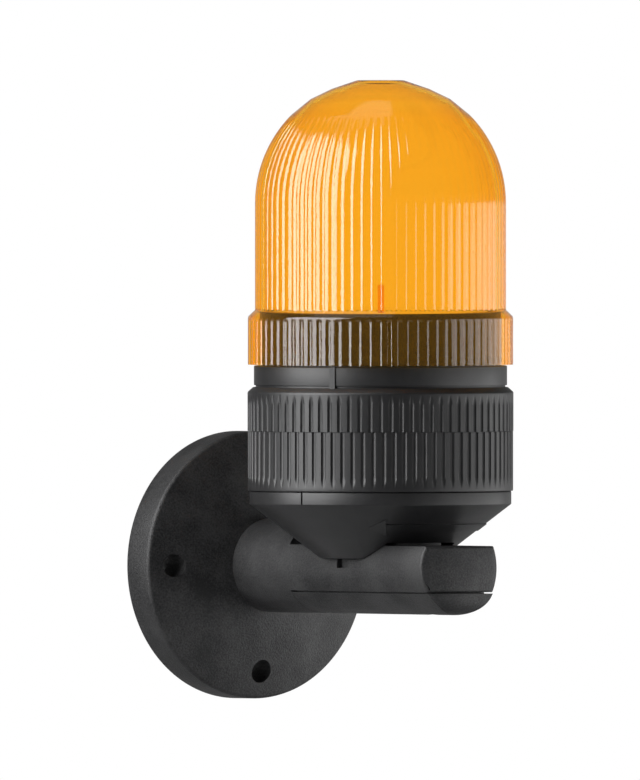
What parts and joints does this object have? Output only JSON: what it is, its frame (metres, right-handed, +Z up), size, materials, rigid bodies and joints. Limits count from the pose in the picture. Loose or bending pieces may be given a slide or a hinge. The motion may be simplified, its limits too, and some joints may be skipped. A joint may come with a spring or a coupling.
{
  "type": "beacon sounder",
  "caption": "Wall-mounted beacon sounder: ribbed amber dome lens on a knurled black housing with a conical foot, carried by a round-plate arm bracket.",
  "frame": {"origin": "centre of the wall plate's back face, on the wall and on the arm's axis", "axes": "+Z up along the beacon, +Y into the wall, the arm stands out along -Y"},
  "size_m": [0.0754, 0.1111, 0.175],
  "materials": {
    "bracket_black": "fine-grained moulded black",
    "housing_black": "smooth satin moulded black",
    "lens_amber": "transparent amber polycarbonate",
    "seal_rubber": "soft black rubber",
    "screw_steel": "zinc plated",
    "terminal_grey": "moulded grey",
    "contact_brass": "bright",
    "board_green": "green solder mask",
    "board_white": "white solder mask",
    "capacitor_blue": "sleeved",
    "chip_black": "epoxy",
    "piezo_white": "fired ceramic",
    "led_amber": "amber phosphor",
    "diffuser_clear": "frosted clear"
  },
  "bodies": {
    "housing": {"wall_bracket": "bracket_black", "arm_cover": "bracket_black", "base_foot": "housing_black", "sounder_housing": "housing_black", "light_base": "housing_black", "module_cover": "housing_black", "terminal_carrier": "housing_black", "piezo_clamp": "housing_black", "wall_seal": "seal_rubber", "cable_grommet": "seal_rubber", "foot_seal": "seal_rubber", "module_seal": "seal_rubber", "lens_seal": "seal_rubber", "cover_screws": "screw_steel", "foot_screws": "screw_steel", "carrier_screws": "screw_steel", "module_screws": "screw_steel", "light_screws": "screw_steel", "led_board_screws": "screw_steel", "terminal_screws": "screw_steel", "terminal_block": "terminal_grey", "contact_pins": "contact_brass", "link_pins": "contact_brass", "piezo_plate": "contact_brass", "control_board": "board_green", "led_board": "board_white", "capacitors": "capacitor_blue", "driver_chips": "chip_black", "piezo_ceramic": "piezo_white", "leds": "led_amber", "diffuser_disc": "diffuser_clear"},
    "lens": {"dome_lens": "lens_amber"},
    "locking_ring": {"lock_ring": "housing_black"}
  },
  "joints": [
    {"name": "lens_twist", "type": "hinge", "parent": "housing", "child": "lens", "pos_m": [0, -0.0705, 0.064], "axis": [0, 0, 1], "range_deg": [-22, 0]},
    {"name": "ring_twist", "type": "hinge", "parent": "housing", "child": "locking_ring", "pos_m": [0, -0.0705, 0.03], "axis": [0, 0, 1], "range_deg": [-25, 0]}
  ]
}
